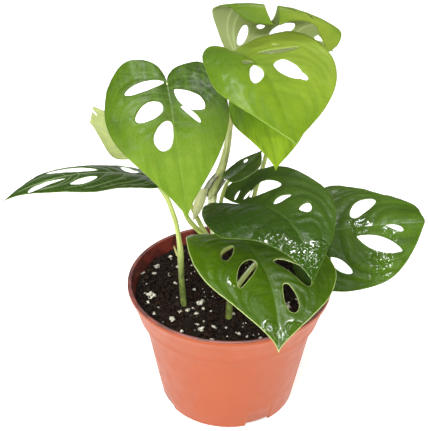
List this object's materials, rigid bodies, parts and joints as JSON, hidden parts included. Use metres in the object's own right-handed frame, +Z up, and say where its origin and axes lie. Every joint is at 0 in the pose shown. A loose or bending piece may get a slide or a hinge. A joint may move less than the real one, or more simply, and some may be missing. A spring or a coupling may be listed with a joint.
{
  "type": "potted monstera adansonii",
  "caption": "Young Swiss cheese vine with oval holes in its heart-shaped leaves, growing from dark soil in a round plastic nursery pot with a flared collar.",
  "frame": {"origin": "centre of the pot's flat base, on the table", "axes": "+Z up, -Y towards the front of the plant where most leaves point, +X to the plant's right seen from the front"},
  "size_m": [0.235, 0.1505, 0.2439],
  "materials": {
    "leaf": "glossy green, paler underneath",
    "stem": "green to cream, matte",
    "petiole": "yellow-green, satin",
    "sheath": "dry and papery",
    "pot": "terracotta-coloured thin plastic",
    "soil": "moist dark potting soil"
  },
  "bodies": {
    "root": {"leaf_front_left": "leaf", "leaf_top_front": "leaf", "leaf_top_arched": "leaf", "leaf_hanging_back": "leaf", "leaf_far_left": "leaf", "leaf_centre_right": "leaf", "leaf_over_rim": "leaf", "leaf_right": "leaf", "leaf_small_at_node": "leaf", "leaf_behind_left": "leaf", "stem_left": "stem", "stem_middle": "stem", "stem_back": "stem", "stem_front": "stem", "petiole_front_left": "petiole", "petiole_top_front": "petiole", "petiole_top_arched": "petiole", "petiole_hanging_back": "petiole", "petiole_far_left": "petiole", "petiole_centre_right": "petiole", "petiole_over_rim": "petiole", "petiole_right": "petiole", "petiole_small_at_node": "petiole", "petiole_behind_left": "petiole", "sheath_left": "sheath", "sheath_middle": "sheath", "sheath_top": "sheath", "sheath_back": "sheath", "sheath_front": "sheath", "sheath_hanging": "sheath", "pot": "pot", "soil": "soil"}
  },
  "joints": []
}
